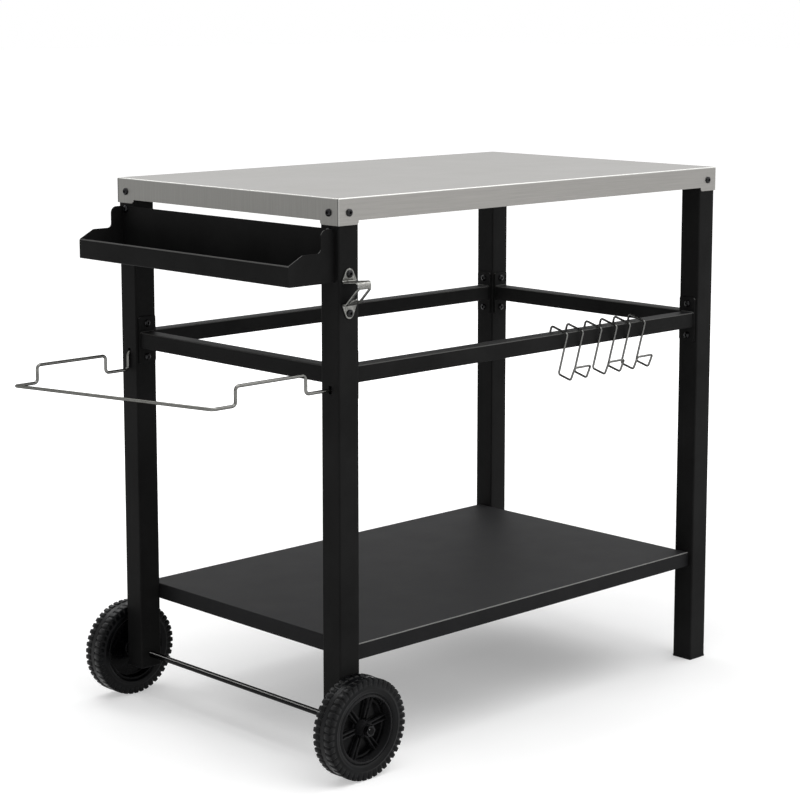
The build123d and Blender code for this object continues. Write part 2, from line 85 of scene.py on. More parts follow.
# Baked polyester powder coat: a satin black skin. Real orange peel is 0.5 mm across; it is drawn
# at 2.4 mm so that it shows, with slow drifts of gloss and of blackness, 90 mm across. Corners that
# turn upwards, where the normal rises by 0.3 to 0.95, are painted grey: a painted highlight.
powder_coat, tree, shader, place = start_finish("satin_black_powder_coat")
shader.inputs["Specular IOR Level"].default_value = 0.03
peel = add(tree, "ShaderNodeTexNoise", {"Scale": 1 / 0.0024, "Detail": 3.0}, {"Vector": place})
drift = add(tree, "ShaderNodeTexNoise", {"Scale": 1 / 0.09, "Detail": 4.0}, {"Vector": place})
tone = add(tree, "ShaderNodeValToRGB", {}, {0: drift.outputs[0]})
tone.color_ramp.elements[0].position = 0.3
tone.color_ramp.elements[0].color = linear("#171717")
tone.color_ramp.elements[1].position = 0.7
tone.color_ramp.elements[1].color = linear("#222222")
aspect = add(tree, "ShaderNodeTexCoord")
facing = add(tree, "ShaderNodeSeparateXYZ", {}, {0: aspect.outputs["Normal"]})
# The upturned corners picked out here get grey mixed in: a painted highlight.
corner = add(tree, "ShaderNodeMath", {"operation": "COMPARE", 1: 0.625, 2: 0.325}, {0: facing.outputs["Z"]})
wear_and_painted_light = add(tree, "ShaderNodeMix", {"data_type": "RGBA", 7: linear("#525251")},
             {0: corner.outputs[0], 6: tone.outputs[0]})
gloss = add(tree, "ShaderNodeMapRange", {"To Min": 0.42, "To Max": 0.58}, {"Value": drift.outputs[0]})
dimple = add(tree, "ShaderNodeBump", {"Strength": 0.25, "Distance": 0.0003}, {"Height": peel.outputs[0]})
tree.links.new(wear_and_painted_light.outputs[2], shader.inputs["Base Color"])
tree.links.new(gloss.outputs[0], shader.inputs["Roughness"])
tree.links.new(dimple.outputs[0], shader.inputs["Normal"])

dress(powder_coat, "leg_front_left", "leg_front_right", "leg_rear_left", "leg_rear_right")

# Leg plugs and foot caps: moulded polyethylene squares that are hammered into the tube ends.
# The left pair closes the raised ends below the axle, the right pair stands on the floor.

# Moulded polyethylene: soft black with a spark-eroded grain, drawn 1.6 mm coarse so that it shows,
# and scuffed paler and duller in patches 12 mm across.
foot_plastic, tree, shader, place = start_finish("black_moulded_polyethylene")
shader.inputs["Specular IOR Level"].default_value = 0.1
grain = add(tree, "ShaderNodeTexNoise", {"Scale": 1 / 0.0016, "Detail": 4.0}, {"Vector": place})
scuff = add(tree, "ShaderNodeTexNoise", {"Scale": 1 / 0.012, "Detail": 6.0}, {"Vector": place})
tone = add(tree, "ShaderNodeValToRGB", {}, {0: scuff.outputs[0]})
tone.color_ramp.elements[0].position = 0.45
tone.color_ramp.elements[0].color = linear("#0E0E0F")
tone.color_ramp.elements[1].position = 0.8
tone.color_ramp.elements[1].color = linear("#19191A")
gloss = add(tree, "ShaderNodeMapRange", {"To Min": 0.5, "To Max": 0.75}, {"Value": scuff.outputs[0]})
dimple = add(tree, "ShaderNodeBump", {"Strength": 0.3, "Distance": 0.0003}, {"Height": grain.outputs[0]})
tree.links.new(tone.outputs[0], shader.inputs["Base Color"])
tree.links.new(gloss.outputs[0], shader.inputs["Roughness"])
tree.links.new(dimple.outputs[0], shader.inputs["Normal"])

dress(foot_plastic, "leg_plug_front_left", "leg_plug_rear_left")
dress(foot_plastic, "foot_cap_front_right", "foot_cap_rear_right")

# Tabletop: one sheet of stainless steel, folded down on four sides and screwed to the legs
# through its corners. The mill brushed it along its length before it was folded, so the
# grain runs along the top and the long sides and turns down on the short sides.
grain_length, grain_width = 0.12, 0.0018
joint_width = 0.0018
edge_width = 0.0012
fold_width = 0.0017
low, high = np.array(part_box("tabletop"))

# Brushed 430 stainless: grey metal whose grain is 0.2 mm wide, drawn 1.8 mm wide and 120 mm long
# so that it shows; where the grain turns down on the short sides, those sides are painted darker, a
# painted shade. A slow cloud of gloss, 150 mm across, breaks it up. A light line along the folds and
# on the long sides' sheared edges at the corners is a painted highlight. At the corners the short
# sides stop against the long ones, and the joint is a dark line beside the long side's sheared edge.
brushed_steel, tree, shader, place = start_finish("brushed_stainless_steel")
shader.inputs["Metallic"].default_value = 1.0
aspect = add(tree, "ShaderNodeTexCoord")
facing = add(tree, "ShaderNodeSeparateXYZ", {}, {0: aspect.outputs["Normal"]})
spot = add(tree, "ShaderNodeSeparateXYZ", {}, {0: place})
sideways = add(tree, "ShaderNodeMath", {"operation": "ABSOLUTE"}, {0: facing.outputs["X"]})
on_end = add(tree, "ShaderNodeMath", {"operation": "GREATER_THAN", 1: 0.7}, {0: sideways.outputs[0]})
along = add(tree, "ShaderNodeMapping", {"Scale": (1 / grain_length, 1 / grain_width, 1 / grain_width)},
            {"Vector": place})
down = add(tree, "ShaderNodeMapping", {"Scale": (1 / grain_width, 1 / grain_width, 1 / grain_length)},
           {"Vector": place})
grain_way = add(tree, "ShaderNodeMix", {"data_type": "VECTOR"},
                {0: on_end.outputs[0], 4: along.outputs[0], 5: down.outputs[0]})
grain = add(tree, "ShaderNodeTexNoise", {"Scale": 1.0, "Detail": 5.0, "Roughness": 0.65},
            {"Vector": grain_way.outputs[1]})
cloud = add(tree, "ShaderNodeTexNoise", {"Scale": 1 / 0.15, "Detail": 3.0}, {"Vector": place})
faint = add(tree, "ShaderNodeMath", {"operation": "MULTIPLY_ADD", 1: 0.6, 2: 0.2}, {0: grain.outputs[0]})
# The short sides are painted darker here: painted shade.
grain_and_painted_shade = add(tree, "ShaderNodeMath", {"operation": "MULTIPLY_ADD", 1: -0.35},
             {0: on_end.outputs[0], 2: faint.outputs[0]})
tone = add(tree, "ShaderNodeValToRGB", {}, {0: grain_and_painted_shade.outputs[0]})
tone.color_ramp.elements[0].position = 0.0
tone.color_ramp.elements[0].color = linear("#70706D")
tone.color_ramp.elements[1].position = 0.7
tone.color_ramp.elements[1].color = linear("#918F8C")
far_out = add(tree, "ShaderNodeMath", {"operation": "ABSOLUTE"}, {0: spot.outputs["Y"]})
at_corner = add(tree, "ShaderNodeMath", {"operation": "GREATER_THAN", 1: high[1] - joint_width},
                {0: far_out.outputs[0]})
in_joint = add(tree, "ShaderNodeMath", {"operation": "MULTIPLY"},
               {0: at_corner.outputs[0], 1: on_end.outputs[0]})
past_left = add(tree, "ShaderNodeMath", {"operation": "LESS_THAN", 1: low[0] + edge_width},
                {0: spot.outputs["X"]})
past_right = add(tree, "ShaderNodeMath", {"operation": "GREATER_THAN", 1: high[0] - edge_width},
                 {0: spot.outputs["X"]})
past_end = add(tree, "ShaderNodeMath", {"operation": "ADD"},
               {0: past_left.outputs[0], 1: past_right.outputs[0]})
on_edge = add(tree, "ShaderNodeMath", {"operation": "MULTIPLY"},
              {0: at_corner.outputs[0], 1: past_end.outputs[0]})
at_rim = add(tree, "ShaderNodeMath", {"operation": "MAXIMUM"},
             {0: at_corner.outputs[0], 1: past_end.outputs[0]})
near_top = add(tree, "ShaderNodeMath", {"operation": "GREATER_THAN", 1: high[2] - fold_width},
               {0: spot.outputs["Z"]})
on_fold = add(tree, "ShaderNodeMath", {"operation": "MULTIPLY"},
              {0: at_rim.outputs[0], 1: near_top.outputs[0]})
# A light line on the folds and on the sheared edges at the corners: painted highlight.
wear_and_painted_light = add(tree, "ShaderNodeMath", {"operation": "MAXIMUM"},
             {0: on_edge.outputs[0], 1: on_fold.outputs[0]})
painted_highlight_lines = add(tree, "ShaderNodeMix", {"data_type": "RGBA", 7: linear("#A6A6A3")},
              {0: wear_and_painted_light.outputs[0], 6: tone.outputs[0]})
jointed = add(tree, "ShaderNodeMix", {"data_type": "RGBA", 7: linear("#4A4948")},
              {0: in_joint.outputs[0], 6: painted_highlight_lines.outputs[2]})
gloss = add(tree, "ShaderNodeMapRange", {"To Min": 0.3, "To Max": 0.42}, {"Value": cloud.outputs[0]})
scratch = add(tree, "ShaderNodeBump", {"Strength": 0.12, "Distance": 0.0002}, {"Height": grain.outputs[0]})
tree.links.new(jointed.outputs[2], shader.inputs["Base Color"])
tree.links.new(gloss.outputs[0], shader.inputs["Roughness"])
tree.links.new(scratch.outputs[0], shader.inputs["Normal"])

dress(brushed_steel, "tabletop")

# Stiffeners: two hat channels rolled from galvanised strip and spot-welded under the top.
# The weld nuts inside the legs have the same zinc on them.

# Galvanised steel: cool grey metal with a zinc flower, 9 mm across, and duller clouds, 20 mm across.
zinc_plate, tree, shader, place = start_finish("galvanised_steel")
shader.inputs["Metallic"].default_value = 1.0
flower = add(tree, "ShaderNodeTexVoronoi", {"Scale": 1 / 0.009}, {"Vector": place})
bloom = add(tree, "ShaderNodeTexNoise", {"Scale": 1 / 0.02, "Detail": 5.0}, {"Vector": place})
tone = add(tree, "ShaderNodeValToRGB", {}, {0: flower.outputs["Color"]})
tone.color_ramp.elements[0].color = linear("#7E8286")
tone.color_ramp.elements[1].color = linear("#9CA0A3")
gloss = add(tree, "ShaderNodeMapRange", {"To Min": 0.32, "To Max": 0.5}, {"Value": bloom.outputs[0]})
tree.links.new(tone.outputs[0], shader.inputs["Base Color"])
tree.links.new(gloss.outputs[0], shader.inputs["Roughness"])

dress(zinc_plate, "tabletop_stiffeners", "leg_weld_nuts")

# Rails: four lengths of square tube with a plate welded on each end, bolted between the legs.
# A bead of weld runs round the tube where it meets its plate, and the powder coat covers it.
rail_half = 0.0125
rail_corner = 0.002
plate_thickness = 0.003
bead_radius = 0.0017
bead_points = 10
ripple_pitch = 0.0021
ripple_depth = 0.14
ripple_points = 4
corner_points = 16


def closed_grid(rows, columns):
    """Quads of a grid whose rows and whose columns both close on themselves."""
    i, j = np.meshgrid(np.arange(rows), np.arange(columns), indexing="ij")
    k, m = (i + 1) % rows, (j + 1) % columns
    quads = np.stack([i * columns + j, k * columns + j, k * columns + m, i * columns + m], -1)
    return quads.reshape(-1, 4)


def far_along(path):
    """How far each point of a path lies from its start: the running sum of the steps between points."""
    return np.r_[0, np.cumsum(np.linalg.norm(np.diff(path, axis=0), axis=1))]


def evenly(outline, steps):
    """Evenly spaced points round a closed outline, and how far along it each lies."""
    closed = np.vstack([outline, outline[:1]])
    far = far_along(closed)
    at = np.linspace(0, far[-1], steps, endpoint=False)
    return np.stack([np.interp(at, far, closed[:, 0]), np.interp(at, far, closed[:, 1])], -1), at


def make_piece(name, points, quads, material):
    """A smooth mesh object at the origin from an array of points and one of quads. Points that fall
    together become one, which closes the poles, and all faces are turned outwards."""
    mesh = bpy.data.meshes.new(name)
    mesh.from_pydata(points.reshape(-1, 3).tolist(), [], quads.tolist())
    shape = bmesh.new()
    shape.from_mesh(mesh)
    bmesh.ops.remove_doubles(shape, verts=shape.verts, dist=1e-7)
    bmesh.ops.recalc_face_normals(shape, faces=shape.faces)
    shape.to_mesh(mesh)
    shape.free()
    mesh.polygons.foreach_set("use_smooth", np.ones(len(mesh.polygons), bool))
    mesh.materials.append(material)
    mesh.update()
    piece = bpy.data.objects.new(name, mesh)
    bpy.context.scene.collection.objects.link(piece)
    return piece


def weld_beads(centres, outward, across, up):
    """Beads round a square tube: a circle is carried round the rounded square |across|, |up| = rail_half,
    and its radius swells once every ripple_pitch. centres are the tube's ends on its plates."""
    turn = (np.arange(4 * corner_points) + 0.25) * np.pi / (2 * corner_points)
    round_corner = np.stack([np.cos(turn), np.sin(turn)], -1)
    outline = (rail_half - rail_corner) * np.sign(round_corner) + rail_corner * round_corner
    girth = far_along(np.vstack([outline, outline[:1]]))[-1]
    steps = int(girth / ripple_pitch) * ripple_points
    ring, at = evenly(outline, steps)
    out = np.roll(ring, -1, 0) - np.roll(ring, 1, 0)
    out = np.stack([out[:, 1], -out[:, 0]], -1) / np.linalg.norm(out, axis=1)[:, None]
    swell = bead_radius * (1 - ripple_depth + ripple_depth * np.abs(np.cos(np.pi * at / ripple_pitch)))
    round_bead = np.linspace(0, 2 * np.pi, bead_points, endpoint=False)
    to_side = (swell[:, None] * np.cos(round_bead))[..., None]
    to_tube = (swell[:, None] * np.sin(round_bead))[..., None]
    flat = ring[:, None] + to_side * out[:, None]
    shape = flat[..., :1] * across + flat[..., 1:] * up
    points = [centre + shape + to_tube * way for centre, way in zip(centres, outward)]
    quads = closed_grid(steps, bead_points)
    return np.stack(points), np.vstack([quads + n * steps * bead_points for n in range(len(points))])


for name, axis in (("front_rail", 0), ("rear_rail", 0), ("left_end_rail", 1), ("right_end_rail", 1)):
    low, high = np.array(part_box(name))
    middle = (low + high) / 2
    ends = np.stack([middle, middle])
    ends[0, axis] = low[axis] + plate_thickness
    ends[1, axis] = high[axis] - plate_thickness
    way = np.eye(3)[axis]
    points, quads = weld_beads(ends, (way, -way), np.eye(3)[1 - axis], np.eye(3)[2])
    beads = make_piece(name + "_weld_beads", points, quads, powder_coat)
    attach(beads, "frame")
dress(powder_coat, "front_rail", "rear_rail", "left_end_rail", "right_end_rail")

# Shelf: one steel sheet with its four edges folded down, set between the legs on two screws an end.
# It has the legs' powder, and lies flat, so it is rubbed where things stand on it.

# Baked powder coat on a shelf: black with rubbed patches, 60 mm across, and an orange peel, drawn
# at 2.4 mm so that it shows. The front and rear folds, where the normal leans forwards or backwards
# by 0.3 to 0.95, are painted paler: a painted highlight.
shelf_coat, tree, shader, place = start_finish("rubbed_black_powder_coat")
shader.inputs["Specular IOR Level"].default_value = 0.08
peel = add(tree, "ShaderNodeTexNoise", {"Scale": 1 / 0.0024, "Detail": 3.0}, {"Vector": place})
wear_and_painted_light = add(tree, "ShaderNodeTexNoise", {"Scale": 1 / 0.06, "Detail": 6.0, "Roughness": 0.6},
             {"Vector": place})
tone = add(tree, "ShaderNodeValToRGB", {}, {0: wear_and_painted_light.outputs[0]})
tone.color_ramp.elements[0].position = 0.3
tone.color_ramp.elements[0].color = linear("#141415")
tone.color_ramp.elements[1].position = 0.75
tone.color_ramp.elements[1].color = linear("#1F1F20")
aspect = add(tree, "ShaderNodeTexCoord")
facing = add(tree, "ShaderNodeSeparateXYZ", {}, {0: aspect.outputs["Normal"]})
lean = add(tree, "ShaderNodeMath", {"operation": "ABSOLUTE"}, {0: facing.outputs["Y"]})
fold = add(tree, "ShaderNodeMath", {"operation": "COMPARE", 1: 0.625, 2: 0.325}, {0: lean.outputs[0]})
# The paler folds are a painted highlight.
painted_fold_highlight = add(tree, "ShaderNodeMix", {"data_type": "RGBA", 7: linear("#7C7C7A")},
           {0: fold.outputs[0], 6: tone.outputs[0]})
gloss = add(tree, "ShaderNodeMapRange", {"To Min": 0.5, "To Max": 0.66}, {"Value": wear_and_painted_light.outputs[0]})
dimple = add(tree, "ShaderNodeBump", {"Strength": 0.3, "Distance": 0.0003}, {"Height": peel.outputs[0]})
tree.links.new(painted_fold_highlight.outputs[2], shader.inputs["Base Color"])
tree.links.new(gloss.outputs[0], shader.inputs["Roughness"])
tree.links.new(dimple.outputs[0], shader.inputs["Normal"])

dress(shelf_coat, "shelf")

# Spice rack: one folded trough of thin sheet with rounded end panels, powder coated with the frame
# and screwed through its back panel to the outer faces of the left legs.
dress(powder_coat, "spice_rack")

# Bottle opener: one stamping of steel, bent so that a hood stands out between two flat ears,
# tumbled, nickel and chrome plated, and screwed to the front left leg.
leg_half = np.ptp(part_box("leg_front_left"), axis=0)[0] / 2
left_x, front_y, _ = np.mean(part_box("leg_front_left"), axis=0)
right_x, rear_y, _ = np.mean(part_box("leg_rear_right"), axis=0)
opener_height = 0.703

# The opener's own sizes are in millimetres, out from the leg's face and up from its middle, and its
# angles in degrees. Nose and foot stand where the straights run into their arcs.
opener_half_width = 13.5
opener_half_sheet = 1.0
eased_share, edge_thickness, eased_thickness = 0.03, 0.6, 0.92
ear_radius, ear_hole, ear_height = 8.0, 3.2, 28.0
ear_rows, ear_points = 6, 144
hood_start, hood_end = 19.0, -17.0
hood_rise, strap_fall = 6, 45
hood_rows, hood_end_points, hood_side_points = 60, 30, 90
bend_radius = 2.5
nose_centre, nose_radius = (27.0, 12.924), 6.0
foot_centre, foot_radius = (6.82, -11.5), 3.0
shoulder_from, shoulder_radius = 29.0, 5.0
window_half, window_from, window_to, lip = 9.5, 41.0, 72.5, 9.0
arc_points = 14

# Chrome plate on tumbled steel: bright metal with soft dents, 3 mm across, and a gloss that varies with them.
plated_steel, tree, shader, place = start_finish("chrome_plated_stamping")
shader.inputs["Metallic"].default_value = 1.0
shader.inputs["Specular Tint"].default_value = linear("#A6A6A6")
tumble = add(tree, "ShaderNodeTexNoise", {"Scale": 1 / 0.003, "Detail": 3.0}, {"Vector": place})
tone = add(tree, "ShaderNodeValToRGB", {}, {0: tumble.outputs[0]})
tone.color_ramp.elements[0].position = 0.35
tone.color_ramp.elements[0].color = linear("#62625F")
tone.color_ramp.elements[1].position = 0.65
tone.color_ramp.elements[1].color = linear("#858582")
gloss = add(tree, "ShaderNodeMapRange", {"To Min": 0.22, "To Max": 0.4}, {"Value": tumble.outputs[0]})
dents = add(tree, "ShaderNodeBump", {"Strength": 0.2, "Distance": 0.0002}, {"Height": tumble.outputs[0]})
tree.links.new(tone.outputs[0], shader.inputs["Base Color"])
tree.links.new(gloss.outputs[0], shader.inputs["Roughness"])
tree.links.new(dents.outputs[0], shader.inputs["Normal"])


def arc(centre, radius, start, stop):
    """Points of a circle's arc between two angles in degrees."""
    angle = np.radians(np.linspace(start, stop, arc_points))
    return np.array(centre) + radius * np.stack([np.cos(angle), np.sin(angle)], -1)


def sheet_ring(outer, inner, rows):
    """A flat sheet with one hole: rows of points run from the outer edge to the hole's on one face and
    back on the other, and the sheet thins a little at both edges. Gives flat places and heights off the
    sheet's middle."""
    level = np.linspace(2 * eased_share, 1 - 2 * eased_share, rows)
    across = np.r_[0, eased_share, level, 1 - eased_share, 1][:, None, None]
    face = outer + across * (inner - outer)
    thick = np.r_[edge_thickness, eased_thickness, np.ones(rows), eased_thickness, edge_thickness]
    thick = opener_half_sheet * thick[:, None] + 0 * face[..., 0]
    return np.concatenate([face, face[::-1]]), np.concatenate([thick, -thick])


def ear(side, root):
    """An ear about its screw: the outline is a circle round the screw, its tangents from the two corners
    of the root, and the root itself. The hole is a circle."""
    corner = np.array((opener_half_width, root - ear_height))
    lean = np.degrees(np.arctan2(corner[1], corner[0]) + np.arccos(ear_radius / np.hypot(*corner)))
    bow = arc((0, 0), ear_radius, lean, 180 - lean)
    outer, _ = evenly(np.vstack([corner, bow, corner * (-1, 1)]), ear_points)
    inner = ear_hole * outer / np.linalg.norm(outer, axis=1)[:, None]
    flat, off = sheet_ring(outer, inner, ear_rows)
    return np.stack([flat[..., 0], opener_half_sheet + off, side * (ear_height + flat[..., 1])], -1)


def hood():
    """The hood: a sheet with a window is bent along a path of straights and arcs seen from the side, out
    of the upper ear, round the nose and back to the lower ear. Where the nose rounds off at its two
    ends, the sheet narrows along a circle. The lip in the window is a parabola."""
    bend_out = bend_radius + opener_half_sheet
    path = np.vstack([
        arc((bend_out, hood_start), bend_radius, 180, 270 + hood_rise),
        arc(nose_centre, nose_radius, 90 + hood_rise, -strap_fall),
        arc(foot_centre, foot_radius, -strap_fall, -90),
        arc((bend_out, hood_end), bend_radius, 90, 180),
    ])
    far = far_along(path)
    end = np.linspace(-1, 1, hood_end_points, endpoint=False)
    side = np.linspace(0, 1, hood_side_points, endpoint=False)
    u = np.r_[end, 1 + 0 * side, -end, -1 + 0 * side]
    v = np.r_[0 * end, side, 1 + 0 * end, 1 - side]
    outer = np.stack([far[-1] * v, opener_half_width * u], -1)
    inner = np.stack([window_from + (window_to - window_from) * v, window_half * u], -1)
    lower_end = slice(len(end) + len(side), 2 * len(end) + len(side))
    inner[lower_end, 0] -= lip * (1 - end ** 2)
    flat, off = sheet_ring(outer, inner, hood_rows)
    out = np.interp(flat[..., 0], far, path[:, 0])
    up = np.interp(flat[..., 0], far, path[:, 1])
    heading = np.gradient(path, far, axis=0)
    heading /= np.linalg.norm(heading, axis=1)[:, None]
    ahead = np.interp(flat[..., 0], far, heading[:, 0])
    rising = np.interp(flat[..., 0], far, heading[:, 1])
    past = np.clip(out - shoulder_from, 0, shoulder_radius)
    half_width = opener_half_width - shoulder_radius + np.sqrt(shoulder_radius ** 2 - past ** 2)
    x = flat[..., 1] * half_width / opener_half_width
    return np.stack([x, out - off * rising, up + off * ahead], -1)


shells = [ear(1, hood_start), hood(), ear(-1, -hood_end)]
points = np.vstack([shell.reshape(-1, 3) for shell in shells]) / 1000
points = np.array((left_x, front_y - leg_half, opener_height)) + points * (1, -1, 1)
starts = np.cumsum([0] + [shell.shape[0] * shell.shape[1] for shell in shells])
quads = np.vstack([closed_grid(*shell.shape[:2]) + start for shell, start in zip(shells, starts)])
opener = make_piece("bottle_opener_stamping", points, quads, plated_steel)
opener.data.set_sharp_from_angle(angle=np.radians(50))
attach(opener, "frame")
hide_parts("bottle_opener")

# Screws: M6 button heads with a hexagon socket, cold headed and blackened, one kind for the whole cart.
# Each group holds one piece to weld nuts inside the legs.
head_radius = 0.0055
head_height = 0.0032
screw_length = 0.011
shank_radius = 0.003
socket_flat = 0.002
socket_floor = 0.0009
socket_mouth = 0.0026
socket_bevel = 0.0003
dome_radius = 1.12 * head_radius
rim_width, rim_height = 0.0002, 0.0004
socket_rings, dome_rings, ring_points = 3, 7, 36
sheet_thickness = 0.0015
top_screw_height, rack_screw_height, shelf_screw_height = 0.817, 0.79, 0.1735
rail_screw_heights = 0.558, 0.611
opener_sheet, opener_reach = 2 * opener_half_sheet / 1000, ear_height / 1000
sheet_seat, plate_seat = leg_half + sheet_thickness, leg_half + plate_thickness
leg_columns, leg_rows = ((left_x, -1), (right_x, 1)), ((front_y, -1), (rear_y, 1))
leg_places = [(x, y, ox, oy) for x, ox in leg_columns for y, oy in leg_rows]

# Blackened steel: near black metal, oily and bright on its dome, with a mottle 2 mm across.
black_oxide, tree, shader, place = start_finish("black_oxide_steel")
shader.inputs["Metallic"].default_value = 0.9
mottle = add(tree, "ShaderNodeTexNoise", {"Scale": 1 / 0.002, "Detail": 3.0}, {"Vector": place})
tone = add(tree, "ShaderNodeValToRGB", {}, {0: mottle.outputs[0]})
tone.color_ramp.elements[0].color = linear("#161617")
tone.color_ramp.elements[1].color = linear("#2E2E2F")
gloss = add(tree, "ShaderNodeMapRange", {"To Min": 0.16, "To Max": 0.3}, {"Value": mottle.outputs[0]})
tree.links.new(tone.outputs[0], shader.inputs["Base Color"])
tree.links.new(gloss.outputs[0], shader.inputs["Roughness"])


def button_screws(seats, ways):
    """Screws about their axes: each ring is a circle or, inside the socket, a hexagon, whose radius is
    its flat over the cosine of the angle from the flat's middle. The dome is part of an ellipse."""
    dome = np.linspace(socket_mouth, head_radius - rim_width, dome_rings)
    fall = np.sqrt(1 - (dome / dome_radius) ** 2)
    crown = head_height * fall / fall[0]
    radius = np.r_[
        0, socket_flat, socket_flat, socket_mouth - socket_bevel, dome,
        head_radius, head_radius, shank_radius, shank_radius, 0,
    ]
    height = np.r_[
        socket_floor, socket_floor, crown[0] - socket_bevel, crown[0] - socket_bevel / 3, crown,
        crown[-1] - rim_height, 0, 0, -screw_length, -screw_length,
    ]
    hexagon = np.zeros(len(radius))
    hexagon[:socket_rings] = 1
    turn = np.linspace(0, 2 * np.pi, ring_points, endpoint=False)
    flat = 1 / np.cos((turn % (np.pi / 3)) - np.pi / 6)
    reach = radius[:, None] * (1 + hexagon[:, None] * (flat - 1))
    side = np.cross(ways, (0, 0, 1))[:, None, None]
    up = np.array((0, 0, 1))
    points = (
        seats[:, None, None] + height[:, None, None] * ways[:, None, None]
        + (reach * np.cos(turn))[..., None] * side + (reach * np.sin(turn))[..., None] * up
    )
    rows, columns = reach.shape
    quads = closed_grid(rows, columns)[:-columns]
    return points, np.vstack([quads + n * rows * columns for n in range(len(seats))])


def screw_group(node, seats, ways):
    """One group of screws, standing for the node of the same name."""
    points, quads = button_screws(np.array(seats, float), np.array(ways, float))
    group = make_piece(node + "_heads", points, quads, black_oxide)
    group.data.set_sharp_from_angle(angle=np.radians(40))
    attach(group, "frame")
    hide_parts(node)


seats = [(x + ox * sheet_seat, y, top_screw_height) for x, y, ox, oy in leg_places]
seats += [(x, y + oy * sheet_seat, top_screw_height) for x, y, ox, oy in leg_places]
ways = [(ox, 0, 0) for x, y, ox, oy in leg_places] + [(0, oy, 0) for x, y, ox, oy in leg_places]
screw_group("tabletop_screws", seats, ways)
seats = [(x - ox * plate_seat, y, z) for z in rail_screw_heights for x, y, ox, oy in leg_places]
seats += [(x, y - oy * plate_seat, z) for z in rail_screw_heights for x, y, ox, oy in leg_places]
ways = [(-ox, 0, 0) for x, y, ox, oy in leg_places * 2] + [(0, -oy, 0) for x, y, ox, oy in leg_places * 2]
screw_group("rail_screws", seats, ways)
seats = [(x - ox * sheet_seat, y, shelf_screw_height) for x, y, ox, oy in leg_places]
screw_group("shelf_screws", seats, [(-ox, 0, 0) for x, y, ox, oy in leg_places])
seats = [(left_x - sheet_seat, y, rack_screw_height) for y in (front_y, rear_y)]
screw_group("rack_screws", seats, [(-1, 0, 0)] * 2)
opener_seat = front_y - leg_half - opener_sheet
seats = [(left_x, opener_seat, opener_height + z) for z in (-opener_reach, opener_reach)]
screw_group("opener_screws", seats, [(0, -1, 0)] * 2)

# Axle: a plain steel rod through both left legs, drawn and then black enamelled.
# Washers and lock nuts of blackened steel hold the wheels on it.

# Enamel on rod: glossier than the powder coat, with faint drawing lines along it, drawn 4 mm wide so
# that they show. Each side has a grey line painted near the top, where the normal rises by 0.58 to
# 0.78: a painted highlight.
rod_enamel, tree, shader, place = start_finish("black_enamelled_rod")
shader.inputs["Specular IOR Level"].default_value = 0.06
lines = add(tree, "ShaderNodeMapping", {"Scale": (1 / 0.004, 1 / 0.2, 1 / 0.004)}, {"Vector": place})
drawn = add(tree, "ShaderNodeTexNoise", {"Scale": 1.0, "Detail": 3.0}, {"Vector": lines.outputs[0]})
tone = add(tree, "ShaderNodeValToRGB", {}, {0: drawn.outputs[0]})
tone.color_ramp.elements[0].color = linear("#060607")
tone.color_ramp.elements[1].color = linear("#0C0C0D")
aspect = add(tree, "ShaderNodeTexCoord")
facing = add(tree, "ShaderNodeSeparateXYZ", {}, {0: aspect.outputs["Normal"]})
# The grey line near the top of each side is a painted highlight.
line = add(tree, "ShaderNodeMath", {"operation": "COMPARE", 1: 0.68, 2: 0.1}, {0: facing.outputs["Z"]})
painted_highlight_line = add(tree, "ShaderNodeMix", {"data_type": "RGBA", 7: linear("#B4B4B2")},
              {0: line.outputs[0], 6: tone.outputs[0]})
gloss = add(tree, "ShaderNodeMapRange", {"To Min": 0.07, "To Max": 0.13}, {"Value": drawn.outputs[0]})
tree.links.new(painted_highlight_line.outputs[2], shader.inputs["Base Color"])
tree.links.new(gloss.outputs[0], shader.inputs["Roughness"])

dress(rod_enamel, "axle")
dress(black_oxide, "axle_washers", "axle_nuts")

# Wheel hubs: moulded polypropylene, one piece with a rim, a dished web, six doubled spokes and a boss
# that runs on the axle. The mould was polished, so the dish is glossy.
axle_height = 0.075
wheel_inner = 0.2558
wheel_width = 0.036
spoke_count = 6
spoke_angle = np.radians(8)
spoke_points = 48
profile_points, bend_points = 150, 7
web_back, web_face = 0.0158, 0.0165
dish_from, dish_to = 0.0113, 0.0475
ridge_gap, ridge_spread, ridge_half = 0.0026, 0.0012, 0.0013
ridge_rise, valley_share = 0.0085, 0.35
ridge_from, ridge_full, ridge_end = 0.009, 0.015, 0.047
painted_light_from, painted_light_full = 0.018, 0.026

# Polished polypropylene: painted shade keeps the dish deep black, and a painted highlight greys all that
# stands out of it, which is the ridges of the spokes, the rim and the boss. Soft flow marks are 14 mm across.
hub_plastic, tree, shader, place = start_finish("glossy_black_polypropylene")
shader.inputs["Specular IOR Level"].default_value = 0.07
flow = add(tree, "ShaderNodeTexNoise", {"Scale": 1 / 0.014, "Detail": 3.0}, {"Vector": place})
reach = add(tree, "ShaderNodeSeparateXYZ", {}, {0: place})
depth_out = add(tree, "ShaderNodeMath", {"operation": "ABSOLUTE"}, {0: reach.outputs["Y"]})
